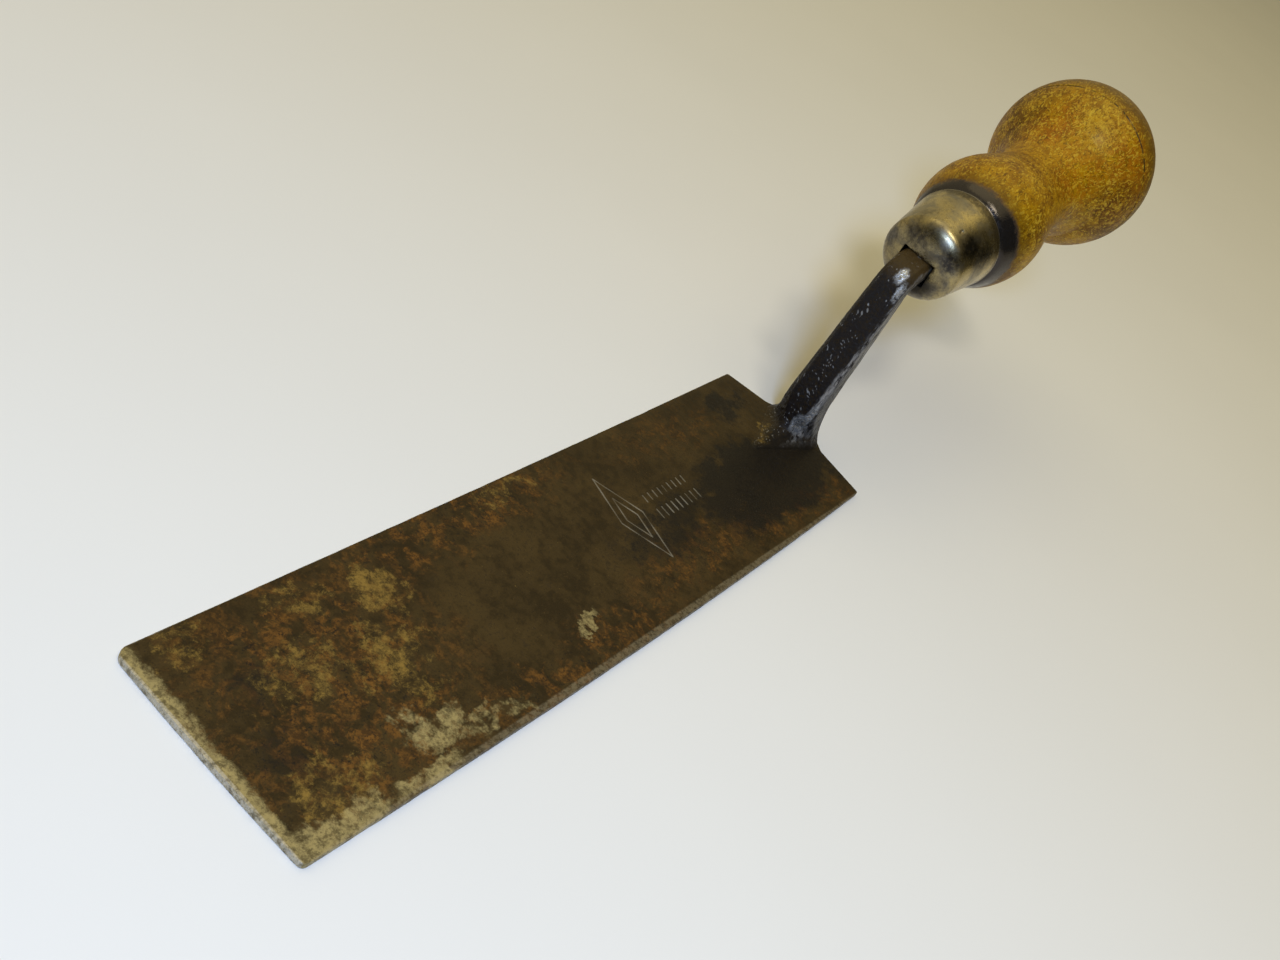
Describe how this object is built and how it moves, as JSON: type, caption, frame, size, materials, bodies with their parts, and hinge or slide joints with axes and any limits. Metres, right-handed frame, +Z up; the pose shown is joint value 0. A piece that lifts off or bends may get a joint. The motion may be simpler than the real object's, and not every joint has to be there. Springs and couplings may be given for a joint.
{
  "type": "moulder's taper trowel",
  "caption": "Foundry moulder's trowel: long flat tapered steel blade, cranked tang rising from the heel, thimble ferrule and turned wooden ball handle.",
  "frame": {"origin": "middle of the flat sole of the blade, on the surface it rests on", "axes": "+X runs from the blade's tip toward its heel and on toward the handle's butt, +Z is up out of the blade's top face, +Y completes the right-handed frame across the blade"},
  "size_m": [0.2858, 0.0453, 0.0875],
  "materials": {
    "blade": "dark brown patinated steel with rust mottling",
    "ferrule": "tarnished polished steel",
    "handle": "worn varnished beech"
  },
  "bodies": {
    "root": {"blade": "blade", "ferrule": "ferrule", "handle": "handle"}
  },
  "joints": []
}
